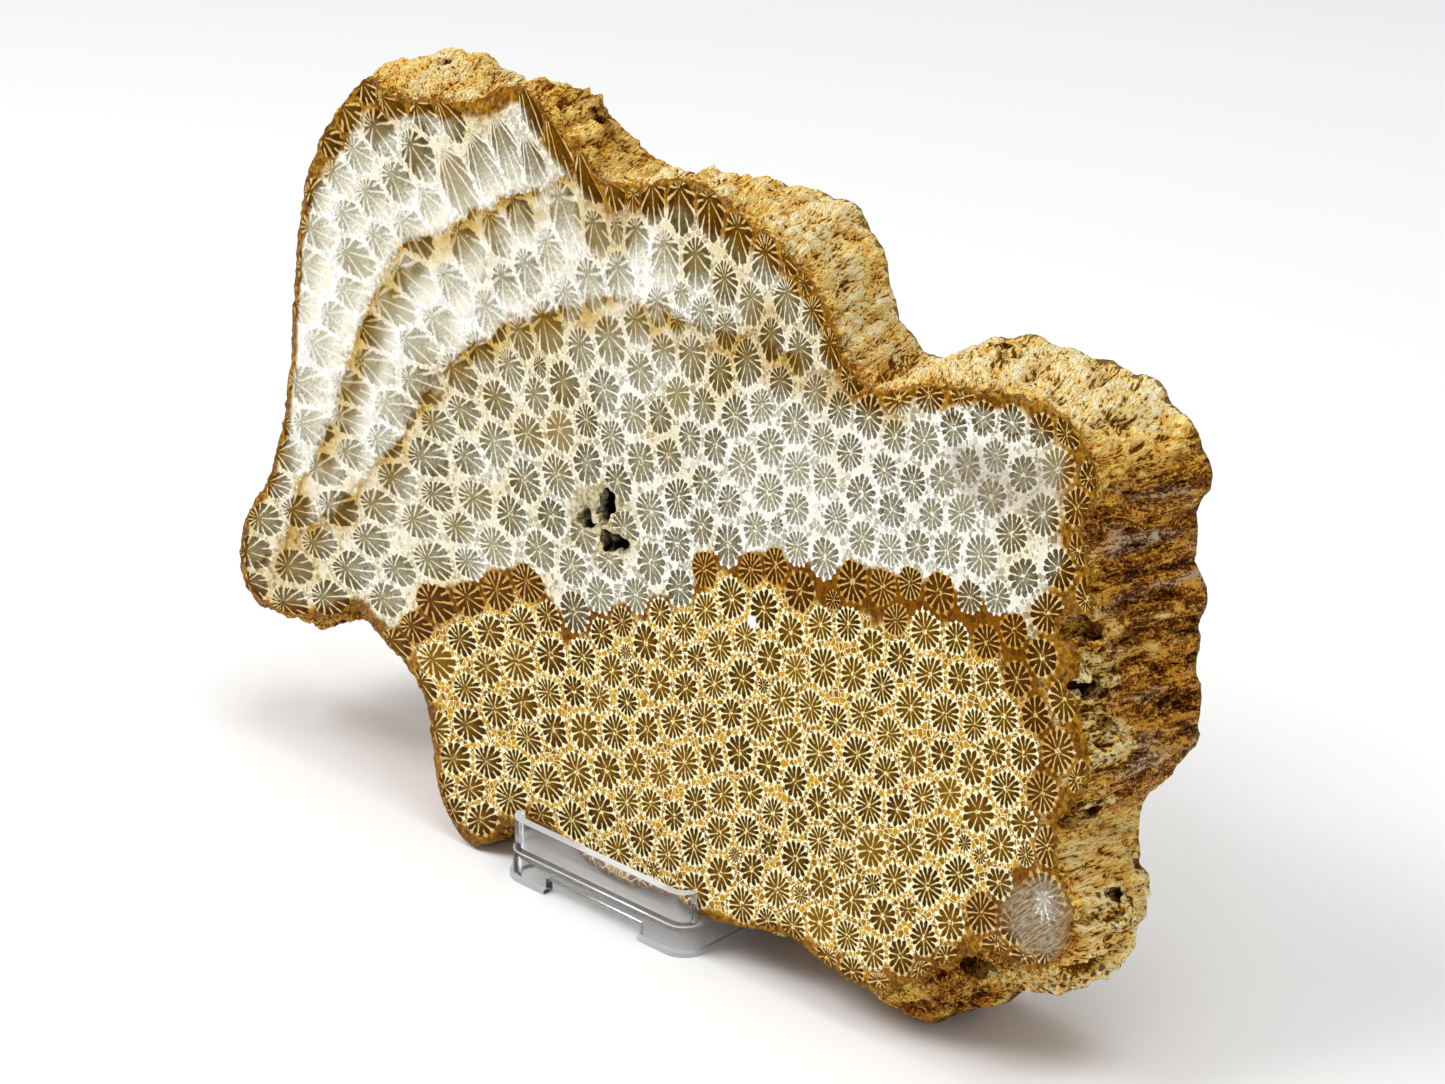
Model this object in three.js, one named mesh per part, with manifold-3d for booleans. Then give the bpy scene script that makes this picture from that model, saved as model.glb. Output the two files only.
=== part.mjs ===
// A slice of fossil coral, sawn flat on both sides, that leans back in a small clear display stand.
// Millimetres, +Z up. The polished cut face looks towards -Y and the slice is widest along X.
import * as THREE from 'three';
import { mergeVertices } from 'three/addons/utils/BufferGeometryUtils.js';
import Module from 'manifold-3d';

const wasm = await Module();
wasm.setup();

// Slice
const THICKNESS = 20;
const LEAN = THREE.MathUtils.degToRad(14);
const FACE_FOOT_Y = 1.6;      // where the plane of the cut face meets the table
const REST_GAP = 0.3;         // clearance between two pieces that touch
const TABLE_GAP = 0.05;       // clearance below the slice's two feet
const SIDE_ROOM = 2.5;        // how far beside the stand the slice still clears its deck
const AROUND = 300;           // facets around the edge
const ACROSS = 8;             // facets across the thickness
const CREST = 0.45;           // share of the thickness at which the edge bulges most
const ROW_CROWDING = 1.15;    // above 1, the facets across the thickness crowd towards the cut face
const EDGE_BLEND = 2;         // depth behind the cut face at which the edge is fully rough
const LUMPS = 0.85;           // height of the edge's lumps
const LUMP_SIZE = 9;
const KNOB_SIZE = 4;
const RIBS = 0.8;             // height of the ribs that run across the edge
const RIB_PITCH = 6.2;
const RIB_SLANT = 0.25;       // how far a rib moves along the edge for each millimetre of depth
const RIB_WANDER = 1.5;
const RIB_WANDER_SIZE = 12;
const WORN_GRAIN = 0.04;      // roughness of the underside where the table and the stand wear it flat
const PIT_ROUGHNESS = 0.3;
const NORMAL_SPAN = 0.014;    // share of the outline over which its outward direction is taken

// Stand
const BASE_WIDTH = 33;
const BASE_DEPTH = 38;
const BASE_HEIGHT = 4;
const BASE_CORNER = 3;
const BASE_X = -1.4;          // centre of the stand along the slice
const WALL = 1.2;
const FLANGE_OUT = 0.5;
const FLANGE_HEIGHT = 0.7;
const LIP_HEIGHT = 4.5;
const LIP_INSET = 0.3;
const LIP_WRAP = 2.6;         // how far back the lip's ends reach
const NOTCH_WIDTH = 17;
const NOTCH_HEIGHT = 2.2;
const REST_WIDTH = 26;
const REST_TOP_WIDTH = 17;
const REST_HEIGHT = 42;
const REST_THICKNESS = 1.6;
const REST_CORNER = 4;
const TONGUE_WIDTH = 14;
const TONGUE_LENGTH = 2;
const GUSSET_SPACING = 15;
const GUSSET_THICKNESS = 1.4;
const GUSSET_LENGTH = 9.5;
const GUSSET_HEIGHT = 26;

// Outline of the cut face, clockwise from its upper left corner: x, height up the face, then how far
// the rough edge stands out from that line at its crest and at the back of the slice.
const OUTLINE = [
  [-68, 95, 3, 0], [-62, 93.5, 6.5, 1], [-55, 94.5, 5.5, 0.5], [-48, 95.5, 1.8, -1],
  [-42, 98.5, 0.2, -3.5], [-37, 99, 0.6, -6], [-32, 95.8, 0.8, -5.5], [-27, 94, -0.5, -4],
  [-23, 91, 0.2, -1], [-17, 91, 1.5, 1.5], [-10, 93.5, 0.5, 0], [-4, 93.5, 0.5, 0],
  [3, 91, 1, 1], [10, 89, -0.8, -2.4], [15, 86, -1.8, -4.8], [19, 82.5, -1.8, -4.2],
  [21.5, 79, 0, -1], [25, 76.6, 2, 2.5], [29, 76.2, 3.5, 5.8], [34, 78.3, 3.5, 5.6],
  [41, 79.4, 3, 4.2], [48, 80.4, 2, 2.8], [54, 80.2, 1.5, 2.2], [59, 77.3, 1, 1.8],
  [61.4, 73.2, 1, 1.8], [60.6, 69, 1, 1.7], [62, 65, 1, 0.6], [64, 60, 0.6, 1],
  [63.6, 54, 1, 2.2], [65, 48, 1, 2], [67.6, 43, 1, 0.5], [67.2, 38, 0, -1.5],
  [65.2, 32.8, -1.5, -3], [66.8, 29, -0.5, -3.5], [69.6, 25, 0, -4.5], [69, 20, 0.8, -4],
  [65.5, 17, 3, -2], [59.5, 16.6, 5.2, -1], [54.5, 13.6, 4.8, -1], [50, 10, 5.4, -1.5],
  [45, 6.6, 4.6, -2], [39.5, 6, 2, -2.5], [34.5, 6.8, 0, -3], [29, 8, -0.5, -4],
  [23, 6.6, -0.5, -4], [17, 5.6, -0.8, -4], [9, 5.6, -1, -4], [1, 4.7, -1.5, -5],
  [-5, 5.2, -1.5, -5], [-10, 6.6, -1, -4], [-14, 7.5, -1, -3.5], [-18, 6.6, -0.5, -3.5],
  [-22, 3.2, -1, -3.5], [-25.3, 0.4, 0.2, -4.8], [-28.5, 1.2, 0.2, -3.8], [-33, 4.8, 0, -1.8],
  [-36, 10.5, 0.3, -1.5], [-38.5, 16.4, 0.5, -1], [-44, 20.2, 0.8, -1], [-50, 22.6, 0.6, -1],
  [-54, 24.4, 0.4, -1], [-60, 21.6, 0.8, -1], [-68, 19.6, 1.2, -1.5], [-75, 19.6, 1.4, -2],
  [-79.3, 23.4, 1.5, -2], [-79.6, 30.2, 1, -1], [-76, 37.6, 1, 0], [-75, 44, 1, 0],
  [-75, 53, 1.2, 0], [-76.6, 65, 1.2, 0], [-77.4, 76, 1.4, 0], [-76, 84, 1.6, 0],
  [-72.6, 89.6, 2, 0],
];

// Hollows broken or weathered out of the slice: x, height up the face, depth behind it, three radii.
const PITS = [
  [-12.3, 50.6, 0, 1.5, 2.2, 3.6], [-9.6, 46.6, 0, 2.6, 1.4, 2], [-15.2, 48.2, 0, 1.6, 1.1, 1.8],
  [62.2, 56.8, 0.5, 2.6, 1.8, 3.6], [64.2, 50.2, 1.6, 2.6, 1.4, 3.2], [68, 52, 6.5, 3.4, 6.5, 5.2],
  [66.2, 53.6, 4.6, 2.6, 1.6, 2.6], [66.8, 46.4, 3.6, 2.2, 1.2, 2], [66.6, 35.4, 3, 2.6, 1.8, 3.4],
  [68.4, 26, 8, 1.8, 1.4, 1.8], [57.2, 13.8, 1.5, 2.6, 1.5, 2.8], [17.2, 85, 9, 1.7, 1.7, 1.5],
  [36, 82.4, 12, 2.2, 1.4, 1.4], [-60, 99.6, 6, 1.8, 1.4, 1.6], [-31.6, 97, 8, 1.6, 1.5, 1.8],
];

const noiseAt = (i, j, k) => {
  const wave = Math.sin(i * 127.1 + j * 311.7 + k * 74.7) * 43758.5453;
  return wave - Math.floor(wave);
};

// Smooth noise between -1 and 1, one lump to each unit of the three coordinates.
function noise(x, y, z) {
  const cell = [x, y, z].map(Math.floor);
  const ease = [x - cell[0], y - cell[1], z - cell[2]].map((f) => f * f * (3 - 2 * f));
  let sum = 0;
  for (let corner = 0; corner < 8; corner += 1) {
    const step = [corner & 1, (corner >> 1) & 1, corner >> 2];
    const weight = step.reduce((product, s, axis) => product * (s ? ease[axis] : 1 - ease[axis]), 1);
    sum += weight * noiseAt(cell[0] + step[0], cell[1] + step[1], cell[2] + step[2]);
  }
  return 2 * sum - 1;
}

function closedMesh(positions, indices) {
  const geometry = new THREE.BufferGeometry();
  geometry.setAttribute('position', new THREE.Float32BufferAttribute(positions, 3));
  geometry.setIndex(indices);
  return geometry;
}

function toSolid(geometry) {
  const bare = geometry.clone();
  bare.deleteAttribute('normal');
  bare.deleteAttribute('uv');
  const welded = mergeVertices(bare, 1e-4);
  return new wasm.Manifold(new wasm.Mesh({
    numProp: 3,
    vertProperties: new Float32Array(welded.attributes.position.array),
    triVerts: new Uint32Array(welded.index.array),
  }));
}

function fromSolid(solid) {
  const mesh = solid.getMesh();
  return closedMesh(mesh.vertProperties, Array.from(mesh.triVerts));
}

// Lowest height up the face, at depth w, that keeps the slice clear of the table and of the stand.
function clearHeight(x, w) {
  const overBase = Math.abs(x - BASE_X) < BASE_WIDTH / 2 + SIDE_ROOM;
  const floor = overBase ? BASE_HEIGHT + REST_GAP : TABLE_GAP;
  return (floor + w * Math.sin(LEAN)) / Math.cos(LEAN);
}

// The rough edge: the outline carried across the thickness, bulged, ribbed and lumpy.
function sliceGeometry() {
  const line = new THREE.CatmullRomCurve3(
    OUTLINE.map(([x, v]) => new THREE.Vector3(x, 0, v)), true, 'centripetal');
  const bulges = new THREE.CatmullRomCurve3(
    OUTLINE.map(([, , crest, back]) => new THREE.Vector3(crest, back, 0)), true, 'catmullrom', 0.5);
  const girth = line.getLength();
  const ribPitch = girth / Math.round(girth / RIB_PITCH);
  const positions = [];
  for (let i = 0; i < AROUND; i += 1) {
    const t = line.getUtoTmapping(i / AROUND);
    const point = line.getPoint(t);
    const before = line.getPoint((t - NORMAL_SPAN + 1) % 1);
    const after = line.getPoint((t + NORMAL_SPAN) % 1);
    const out = new THREE.Vector2(before.z - after.z, after.x - before.x).normalize();
    const { x: crest, y: back } = bulges.getPoint(t);
    for (let j = 0; j <= ACROSS; j += 1) {
      const w = THICKNESS * (j / ACROSS) ** ROW_CROWDING;
      const share = w / THICKNESS;
      const bulge = crest * share * (1 - share) / (CREST * (1 - CREST))
        + back * share * (share - CREST) / (1 - CREST);
      const rough = Math.min(1, w / EDGE_BLEND);
      const lumps = noise(point.x / LUMP_SIZE, w / LUMP_SIZE + 5, point.z / LUMP_SIZE)
        + 0.5 * noise(point.x / KNOB_SIZE, w / KNOB_SIZE, point.z / KNOB_SIZE);
      const wander = noise(point.x / RIB_WANDER_SIZE, 3, point.z / RIB_WANDER_SIZE);
      const along = (i / AROUND) * girth + RIB_SLANT * w + RIB_WANDER * wander;
      const ribs = Math.abs(Math.cos(Math.PI * along / ribPitch)) - 2 / Math.PI;
      const reach = bulge + rough * (LUMPS * lumps + RIBS * ribs);
      const x = point.x + out.x * reach;
      const worn = clearHeight(x, w) + WORN_GRAIN * (1 + noise(x, w, 7));
      positions.push(x, w, Math.max(point.z + out.y * reach, worn));
    }
  }
  const at = (i, j) => (i % AROUND) * (ACROSS + 1) + j;
  const indices = [];
  for (let i = 0; i < AROUND; i += 1) {
    for (let j = 0; j < ACROSS; j += 1) {
      const [a, b, c, d] = [at(i, j), at(i + 1, j), at(i + 1, j + 1), at(i, j + 1)];
      indices.push(a, b, c, a, c, d);
    }
  }
  for (const [j, flip] of [[0, false], [ACROSS, true]]) {
    const ring = Array.from({ length: AROUND }, (_, i) => at(i, j));
    const flat = ring.map((n) => new THREE.Vector2(positions[3 * n], positions[3 * n + 2]));
    for (const [a, b, c] of THREE.ShapeUtils.triangulateShape(flat, [])) {
      const corners = [ring[a], ring[b], ring[c]];
      const [p, q, r] = [flat[a], flat[b], flat[c]];
      const anticlockwise = (q.x - p.x) * (r.y - p.y) - (q.y - p.y) * (r.x - p.x) > 0;
      indices.push(...(anticlockwise === flip ? corners.reverse() : corners));
    }
  }
  return closedMesh(positions, indices);
}

function pitGeometry([x, v, w, rx, rv, rw]) {
  const ball = new THREE.IcosahedronGeometry(1, 1);
  ball.deleteAttribute('normal');
  ball.deleteAttribute('uv');
  const pit = mergeVertices(ball, 1e-4);
  const place = pit.attributes.position;
  for (let n = 0; n < place.count; n += 1) {
    const p = new THREE.Vector3().fromBufferAttribute(place, n);
    p.multiplyScalar(1 + PIT_ROUGHNESS * noise(2 * p.x + x, 2 * p.y + v, 2 * p.z + w));
    place.setXYZ(n, x + rx * p.x, w + rw * p.y, v + rv * p.z);
  }
  return pit;
}

function coralSlice() {
  let slice = toSolid(sliceGeometry());
  for (const pit of PITS) slice = slice.subtract(toSolid(pitGeometry(pit)));
  return fromSolid(slice);
}

function roundedPlan(width, depth, corner) {
  const plan = new THREE.Shape();
  const [x, y] = [width / 2 - corner, depth / 2 - corner];
  plan.absarc(x, y, corner, 0, Math.PI / 2);
  plan.absarc(-x, y, corner, Math.PI / 2, Math.PI);
  plan.absarc(-x, -y, corner, Math.PI, 1.5 * Math.PI);
  plan.absarc(x, -y, corner, 1.5 * Math.PI, 2 * Math.PI);
  return plan;
}

// A plan grown by a margin on every side and raised from one height to another.
function slab(margin, from, to) {
  const plan = roundedPlan(BASE_WIDTH + 2 * margin, BASE_DEPTH + 2 * margin, BASE_CORNER + margin);
  const geometry = new THREE.ExtrudeGeometry(
    plan, { depth: to - from, bevelEnabled: false, curveSegments: 6 });
  return toSolid(geometry.translate(BASE_X, BASE_DEPTH / 2, from));
}

function block(xMin, xMax, yMin, yMax, zMin, zMax) {
  const geometry = new THREE.BoxGeometry(xMax - xMin, yMax - yMin, zMax - zMin);
  return toSolid(geometry.translate((xMin + xMax) / 2, (yMin + yMax) / 2, (zMin + zMax) / 2));
}

// Where the front of the back rest stands on the stand's base.
const REST_DEPTH = THICKNESS + REST_GAP;
const REST_FOOT = (BASE_HEIGHT + REST_GAP + (REST_DEPTH + REST_THICKNESS) * Math.sin(LEAN)) / Math.cos(LEAN);
const restFrontY = (z) => FACE_FOOT_Y + REST_DEPTH / Math.cos(LEAN) + z * Math.tan(LEAN);

// Hollow tray with an upright lip along its front edge and a slot for the back rest's tongue.
function standBase() {
  const lipTop = BASE_HEIGHT + LIP_HEIGHT;
  const far = BASE_WIDTH + BASE_DEPTH;
  const lipRing = slab(-LIP_INSET, BASE_HEIGHT - WALL / 2, lipTop)
    .subtract(slab(-LIP_INSET - WALL, BASE_HEIGHT - WALL, lipTop + 1))
    .subtract(block(-far, far, LIP_WRAP, far, 0, lipTop + 1));
  const notchSide = NOTCH_WIDTH / 2;
  const slotSide = TONGUE_WIDTH / 2 + REST_GAP;
  const slotFront = restFrontY(BASE_HEIGHT - WALL) - REST_GAP;
  const slotBack = restFrontY(BASE_HEIGHT) + REST_THICKNESS / Math.cos(LEAN) + REST_GAP;
  return fromSolid(slab(0, 0, BASE_HEIGHT)
    .add(slab(FLANGE_OUT, 0, FLANGE_HEIGHT))
    .add(lipRing)
    .subtract(slab(-WALL, -1, BASE_HEIGHT - WALL))
    .subtract(block(BASE_X - notchSide, BASE_X + notchSide, -far, WALL + 1, -1, NOTCH_HEIGHT))
    .subtract(block(BASE_X - slotSide, BASE_X + slotSide, slotFront, slotBack, 0, lipTop)));
}

// Leaning plate with a rounded top, a tongue below it and two gussets behind it, in the slice's axes.
function backRest() {
  const [low, top, tongue] = [REST_WIDTH / 2, REST_TOP_WIDTH / 2, TONGUE_WIDTH / 2];
  const outline = new THREE.Shape();
  outline.moveTo(-low, 0);
  outline.lineTo(-tongue, 0);
  outline.lineTo(-tongue, -TONGUE_LENGTH);
  outline.lineTo(tongue, -TONGUE_LENGTH);
  outline.lineTo(tongue, 0);
  outline.lineTo(low, 0);
  outline.lineTo(top, REST_HEIGHT - REST_CORNER);
  outline.quadraticCurveTo(top, REST_HEIGHT, top - REST_CORNER, REST_HEIGHT);
  outline.lineTo(REST_CORNER - top, REST_HEIGHT);
  outline.quadraticCurveTo(-top, REST_HEIGHT, -top, REST_HEIGHT - REST_CORNER);
  const plate = new THREE.ExtrudeGeometry(
    outline, { depth: REST_THICKNESS, bevelEnabled: false, curveSegments: 5 });
  plate.rotateX(Math.PI / 2).translate(BASE_X, REST_DEPTH + REST_THICKNESS, REST_FOOT);
  let rest = toSolid(plate);
  for (const side of [-1, 1]) {
    const web = new THREE.Shape();
    web.moveTo(-REST_THICKNESS / 2, 0);
    web.lineTo(-REST_THICKNESS / 2, GUSSET_HEIGHT);
    web.lineTo(0, GUSSET_HEIGHT);
    web.lineTo(GUSSET_LENGTH * Math.cos(LEAN), GUSSET_LENGTH * Math.sin(LEAN));
    web.lineTo(0, 0);
    const gusset = new THREE.ExtrudeGeometry(web, { depth: GUSSET_THICKNESS, bevelEnabled: false });
    gusset.rotateX(Math.PI / 2).rotateZ(Math.PI / 2);
    const left = BASE_X + side * GUSSET_SPACING / 2 - GUSSET_THICKNESS / 2;
    gusset.translate(left, REST_DEPTH + REST_THICKNESS, REST_FOOT);
    rest = rest.add(toSolid(gusset));
  }
  return fromSolid(rest);
}

const coral = new THREE.MeshStandardMaterial({ color: 0xc9a86a, roughness: 0.35, metalness: 0 });
const clearPlastic = new THREE.MeshStandardMaterial({
  color: 0xe9eef0, roughness: 0.15, metalness: 0, transparent: true, opacity: 0.35,
});

function piece(name, geometry, material) {
  const mesh = new THREE.Mesh(geometry, material.clone());
  mesh.name = name;
  return mesh;
}

const tilted = new THREE.Group();
tilted.rotation.x = -LEAN;
tilted.position.y = FACE_FOOT_Y;
tilted.add(piece('coral_slice', coralSlice(), coral));
tilted.add(piece('stand_back_rest', backRest(), clearPlastic));

const display = new THREE.Group();
display.add(tilted, piece('stand_base', standBase(), clearPlastic));

// The origin lies under the middle of the whole, on the table.
const box = new THREE.Box3().setFromObject(display, true);
display.position.set(-(box.min.x + box.max.x) / 2, -(box.min.y + box.max.y) / 2, -box.min.z);

export default display;
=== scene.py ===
"""A slice of fossil coral in its clear stand: the rough edge, the two sawn faces with their corallites,
and the moulded stand. Metres in the room; millimetres in the slice's own frame, where x runs along
the slice, w into its depth from the polished face, and v up that face."""
import math
from types import SimpleNamespace

import bmesh
import bpy
import numpy as np
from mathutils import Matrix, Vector, geometry, noise


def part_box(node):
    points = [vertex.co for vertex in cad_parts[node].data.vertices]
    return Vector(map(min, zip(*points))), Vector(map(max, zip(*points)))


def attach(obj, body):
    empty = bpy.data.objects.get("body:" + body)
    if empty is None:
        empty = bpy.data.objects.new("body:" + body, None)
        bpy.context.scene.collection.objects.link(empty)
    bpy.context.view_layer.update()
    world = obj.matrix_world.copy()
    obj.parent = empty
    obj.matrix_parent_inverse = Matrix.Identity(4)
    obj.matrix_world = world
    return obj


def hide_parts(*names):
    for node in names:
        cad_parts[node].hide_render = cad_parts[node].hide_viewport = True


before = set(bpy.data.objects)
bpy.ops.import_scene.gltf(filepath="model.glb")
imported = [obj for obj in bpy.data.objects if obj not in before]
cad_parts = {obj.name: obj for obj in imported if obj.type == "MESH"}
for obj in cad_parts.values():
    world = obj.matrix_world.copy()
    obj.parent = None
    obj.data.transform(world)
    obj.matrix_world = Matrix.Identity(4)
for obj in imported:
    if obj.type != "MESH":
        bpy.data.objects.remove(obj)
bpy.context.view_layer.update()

MM = 0.001
LEAN = math.radians(14)
THICKNESS = 20.0
SEED = 7
# How far a row of a table reaches before it blends into the next, in millimetres.
BLEND_REACH = 6.0

# The polished face's foot line, worked out from the stand's base. Both offsets are in metres.
base_low, base_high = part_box("stand_base")
BASE_OFF_CENTRE = 0.0014
FACE_BEHIND_BASE_FRONT = 0.0021
FOOT = Vector(((base_low.x + base_high.x) / 2 + BASE_OFF_CENTRE, base_low.y + FACE_BEHIND_BASE_FRONT, 0))

# The corallites are columns that lean sideways and up as they run into the slice's depth.
COLUMN_X = -0.5
COLUMN_V = 0.1

CAMERA_PLACE = (0.29575, -0.30023, 0.2228)
CAMERA_AZIMUTH = math.radians(44)
CAMERA_PITCH = math.radians(23)
LENS = 89.69
SENSOR = 36.0

# Soft lights: name, place, what it points at, size and power.
LIGHTS = [
    ("key", (-0.4, -0.4, 0.75), (0, 0, 0.04), 0.45, 5.2),
    ("fill", (0.7, -0.08, 0.13), (0.03, 0, 0.05), 0.35, 0.85),
    ("top", (0.2, 0.2, 1.2), (0, 0, 0), 0.9, 7.6)]
ROOM_LIGHT = 0.35


# ---------------------------------------------------------------- shared helpers

def colour(red, green, blue):
    """A screen colour, 0 to 255 a channel, as the linear colour that a shader takes."""
    return tuple((c / 12.92 if c <= 0.04045 else ((c + 0.055) / 1.055) ** 2.4)
                 for c in (red / 255, green / 255, blue / 255)) + (1.0,)


def to_slice(points):
    """Room points in metres as (x, w, v) in millimetres."""
    x, y, z = ((np.asarray(points, float) - np.array(FOOT)) / MM).T
    return np.stack([x, y * math.cos(LEAN) - z * math.sin(LEAN), y * math.sin(LEAN) + z * math.cos(LEAN)], 1)


def to_room(points):
    x, w, v = np.asarray(points, float).T
    y = w * math.cos(LEAN) + v * math.sin(LEAN)
    z = v * math.cos(LEAN) - w * math.sin(LEAN)
    return np.stack([x, y, z], 1) * MM + np.array(FOOT)


def only(piece):
    """Makes piece the one selected, active object."""
    bpy.ops.object.select_all(action="DESELECT")
    piece.select_set(True)
    bpy.context.view_layer.objects.active = piece


def copy_of_node(node, name):
    """A merged copy of a CAD node's mesh, as a new object."""
    piece = bpy.data.objects.new(name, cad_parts[node].data.copy())
    piece.data.name = name
    piece.data.materials.clear()
    bpy.context.scene.collection.objects.link(piece)
    only(piece)
    bpy.ops.object.mode_set(mode="EDIT")
    bpy.ops.mesh.select_all(action="SELECT")
    bpy.ops.mesh.remove_doubles(threshold=1e-6)
    bpy.ops.object.mode_set(mode="OBJECT")
    return piece


def points_of(mesh):
    flat = np.empty(len(mesh.vertices) * 3)
    mesh.vertices.foreach_get("co", flat)
    return flat.reshape(-1, 3)


def blended(points, table):
    """The values of a table, rows of x, v and values, spread smoothly over (x, v) points."""
    rows = np.array(table, float)
    gaps = ((points[:, None] - rows[None, :, :2]) ** 2).sum(2)
    shares = 1 / (gaps + BLEND_REACH ** 2) ** 2
    return (shares / shares.sum(1, keepdims=True)) @ rows[:, 2:]


def line_gap(points, line, closed=False):
    """Signed distance from (x, v) points to a line: positive on its left, or inside a closed one."""
    ends = np.array(line, float)
    if closed:
        ends = np.concatenate([ends, ends[:1]])
    start, run = ends[:-1], np.diff(ends, axis=0)
    best = np.full(len(points), np.inf)
    side = np.zeros(len(points))
    inside = np.zeros(len(points), bool)
    for a, d in zip(start, run):
        off = points - a
        share = np.clip(off @ d / (d @ d), 0, 1)
        gap = np.hypot(*(off - share[:, None] * d).T)
        turn = d[0] * off[:, 1] - d[1] * off[:, 0]
        closer = gap < best - 1e-9
        side[closer] = np.sign(turn[closer])
        best = np.minimum(best, gap)
        crosses = (a[1] > points[:, 1]) != (a[1] + d[1] > points[:, 1])
        with np.errstate(divide="ignore", invalid="ignore"):
            inside ^= crosses & (points[:, 0] < a[0] + d[0] * (points[:, 1] - a[1]) / d[1])
    return best * np.where(inside, 1, -1) if closed else best * side


# ---------------------------------------------------------------- where the colours lie on the face

BROWN_LAND = [
    (-49, 22), (-41, 30), (-37, 33), (-29, 38), (-24, 39), (-20, 37), (-17, 35), (-12, 37), (-4, 41),
    (4, 44), (6, 50), (14, 52), (21, 53), (32, 55), (44, 56), (51, 56), (56, 54), (60, 56), (62, 62),
    (62.5, 70), (60, 77), (95, 90), (95, -20), (-60, -20), (-54, 10)]
GOLD_LAND = [
    (-45, 22), (-38, 27), (-33, 32), (-25, 36), (-20, 35), (-15, 32), (-10, 35), (-2, 40), (6, 44),
    (8, 48), (15, 49), (22, 49), (30, 49), (37, 50), (45, 52), (53, 50), (57, 47), (60, 43), (61, 36),
    (62, 30), (59, 25), (54, 18), (51, 13), (47, 8), (46, -10), (-50, -10), (-50, 15)]
OUTER_GROWTH_LINE = [(-29, 89), (-43, 82), (-57, 74), (-61, 66), (-64, 54), (-65, 48), (-70, 36), (-72, 26)]
INNER_GROWTH_LINE = [
    (30, 76), (20, 76), (8, 77), (-2, 76.5), (-12, 77), (-16, 77), (-33, 70), (-46, 60), (-51, 50), (-60, 38),
    (-68, 31)]
# Stained or grey spots: x, v, two radii.
STAINS = [(-67, 28, 5, 4), (-79, 30, 3, 6), (-72, 22, 7, 3), (-66, 92, 6, 5), (-20, 86, 6, 5), (-46, 96, 5, 3),
          (8, 80, 3, 3)]
GREY_SPOTS = [(65, 23, 5.5, 5), (46, 70, 7, 4), (53, 71, 4, 3.5)]
PITTED_SPOT = (-12.5, 48.5, 7.5, 6.5)
WHITE_SPECKS = [(15, 44, 1.0, 1.5), (-22, 60, 0.5, 0.9)]
STAR = (65.5, 24.5)
# The white stone: x, v, how milky it is, how tan. At the left part the milky share is partly painted sheen, a
# whitish veil where the light's glare falls.
WHITE_LIE = [
    (-75, 80, 0.7, 0.3), (-62, 90, 0.5, 0.55), (-45, 96, 0.35, 0.65), (-35, 95, 0.5, 0.5), (-50, 76, 1.0, 0.1),
    (-40, 72, 0.9, 0.2), (-30, 82, 0.8, 0.3), (-20, 80, 0.75, 0.25), (-10, 82, 0.7, 0.2), (-58, 56, 0.95, 0.2),
    (-65, 45, 0.8, 0.4), (-72, 60, 1.0, 0.1), (-72, 30, 0.3, 0.6), (-60, 26, 0.3, 0.6), (-45, 45, 0.4, 0.55),
    (-36, 56, 0.3, 0.55), (-25, 65, 0.25, 0.6), (-15, 52, 0.15, 0.4), (0, 60, 0.15, 0.35), (10, 60, 0.3, 0.05),
    (20, 65, 0.35, 0.2), (5, 72, 0.1, 0.6), (32, 60, 0.3, 0), (40, 66, 0.2, 0.1), (22, 76, 0.15, 0.5),
    (-5, 88, 0.3, 0.9), (55, 66, 0.05, 0.5), (47, 60, 0.2, 0.15), (0, 40, 0.1, 0.2), (20, 55, 0.25, 0.05)]
# How far in the amber rim of the face reaches: x, v, width.
AMBER_RIM = [
    (-70, 93, 5), (-55, 94, 2), (-40, 98, 2.6), (-30, 95, 3.6), (-20, 91, 5), (-10, 92, 4), (5, 90, 3.6),
    (15, 86, 3.2), (22, 79, 2.6), (32, 77, 2.4), (45, 80, 1.8), (56, 79, 3.6), (61, 73, 4.2), (62, 64, 4.2),
    (-78, 60, 1.4), (-78, 30, 1.6), (-60, 20, 1.8), (-40, 18, 2.4), (-36, 5, 1.6), (-25, 1, 2.6), (0, 5, 0.5),
    (30, 6, 1.2), (42, 6, 3)]


def spots_gap(points, spots):
    """Positive inside any of the spots, about in millimetres."""
    gaps = [(1 - np.hypot((points[:, 0] - x) / a, (points[:, 1] - v) / b)) * min(a, b) for x, v, a, b in spots]
    return np.max(gaps, axis=0)


# ---------------------------------------------------------------- corallites

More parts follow.
